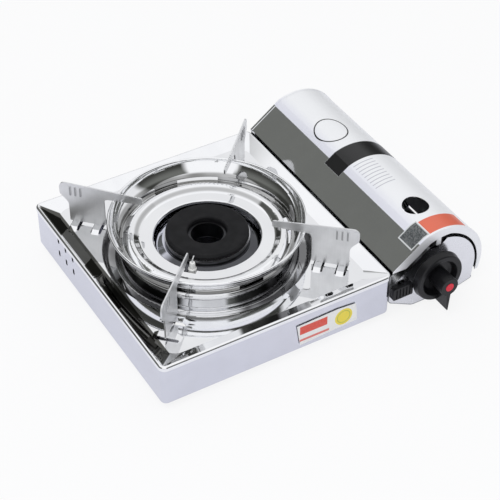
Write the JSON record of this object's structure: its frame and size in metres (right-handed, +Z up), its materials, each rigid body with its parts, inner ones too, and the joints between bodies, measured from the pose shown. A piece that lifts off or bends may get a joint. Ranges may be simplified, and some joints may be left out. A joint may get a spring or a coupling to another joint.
{
  "type": "portable gas cartridge stove",
  "caption": "Low table stove with a mirror-steel top, ring burner, dish and pan supports; gas cartridge bay under a hinged half-round cover.",
  "frame": {"origin": "middle of the stove's outline, on the surface it stands on", "axes": "+X towards the cartridge bay at the stove's right, +Y from the control side to the back, +Z up"},
  "size_m": [0.3016, 0.2524, 0.0832],
  "materials": {
    "polished_steel": "mirror-polished stainless sheet",
    "satin_steel": "satin stamped steel",
    "zinc_steel": "dull zinc-plated steel",
    "cast_black": "matt black coated casting",
    "cast_aluminium": "plain sand-grey die casting",
    "brass": "turned brass",
    "ceramic_white": "glazed white ceramic",
    "plastic_black": "moulded black plastic",
    "plastic_red": "moulded red plastic",
    "rubber_black": "black rubber"
  },
  "bodies": {
    "root": {"base_pan": "polished_steel", "top_plate": "polished_steel", "foot_front_left": "plastic_black", "foot_front_right": "plastic_black", "foot_rear_left": "plastic_black", "foot_rear_right": "plastic_black", "foot_screws": "satin_steel", "burner_cap": "cast_black", "burner_bowl": "cast_aluminium", "burner_elbow": "cast_aluminium", "burner_screws": "satin_steel", "burner_tray": "polished_steel", "burner_bracket": "zinc_steel", "mixing_tube": "zinc_steel", "air_shutter": "zinc_steel", "gas_jet": "brass", "gas_pipe": "zinc_steel", "electrode_bracket": "zinc_steel", "electrode_insulator": "ceramic_white", "electrode_pin": "satin_steel", "igniter_body": "plastic_black", "igniter_lead": "rubber_black", "cartridge_bay": "zinc_steel", "bay_rivets": "satin_steel", "cover_hinge_pin": "satin_steel", "front_panel": "polished_steel", "back_panel": "zinc_steel", "cartridge_cradle_front": "plastic_black", "cartridge_cradle_rear": "plastic_black", "regulator_body": "cast_aluminium", "diaphragm_cover": "zinc_steel", "regulator_stand": "zinc_steel", "inlet_spigot": "brass", "inlet_seal": "rubber_black", "holder_guides": "zinc_steel"},
    "ring_dish": {"ring_dish": "polished_steel"},
    "pan_support_rear_right": {"pan_support_rear_right": "satin_steel"},
    "pan_support_rear_left": {"pan_support_rear_left": "satin_steel"},
    "pan_support_front_left": {"pan_support_front_left": "satin_steel"},
    "pan_support_front_right": {"pan_support_front_right": "satin_steel"},
    "cover": {"canister_cover": "polished_steel"},
    "knob": {"knob": "plastic_black", "knob_dot": "plastic_red", "valve_spindle": "satin_steel"},
    "set_lever": {"set_lever": "plastic_black"},
    "can_holder": {"can_holder": "zinc_steel"}
  },
  "joints": [
    {"name": "cover_hinge", "type": "hinge", "parent": "root", "child": "cover", "pos_m": [0.14515, 0.0117, 0.0095], "axis": [0, 1, 0], "range_deg": [0, 95]},
    {"name": "knob_turn", "type": "hinge", "parent": "root", "child": "knob", "pos_m": [0.09915, -0.106, 0.0338], "axis": [0, -1, 0], "range_deg": [0, 110]},
    {"name": "lever_slide", "type": "slide", "parent": "root", "child": "set_lever", "axis": [0, 0, -1], "range_m": [0, 0.008], "stiffness_N_per_m": 150, "springref_m": -0.004},
    {"name": "holder_slide", "type": "slide", "parent": "root", "child": "can_holder", "axis": [0, -1, 0], "range_m": [0, 0.005]},
    {"name": "dish_lift", "type": "slide", "parent": "root", "child": "ring_dish", "axis": [0, 0, 1], "range_m": [0, 0.035]},
    {"name": "support_rear_right_lift", "type": "slide", "parent": "ring_dish", "child": "pan_support_rear_right", "axis": [0, 0, 1], "range_m": [0, 0.02]},
    {"name": "support_rear_left_lift", "type": "slide", "parent": "ring_dish", "child": "pan_support_rear_left", "axis": [0, 0, 1], "range_m": [0, 0.02]},
    {"name": "support_front_left_lift", "type": "slide", "parent": "ring_dish", "child": "pan_support_front_left", "axis": [0, 0, 1], "range_m": [0, 0.02]},
    {"name": "support_front_right_lift", "type": "slide", "parent": "ring_dish", "child": "pan_support_front_right", "axis": [0, 0, 1], "range_m": [0, 0.02]}
  ],
  "couplings": [
    {"joint": "holder_slide", "follows": "lever_slide", "ratio": 0.625}
  ]
}
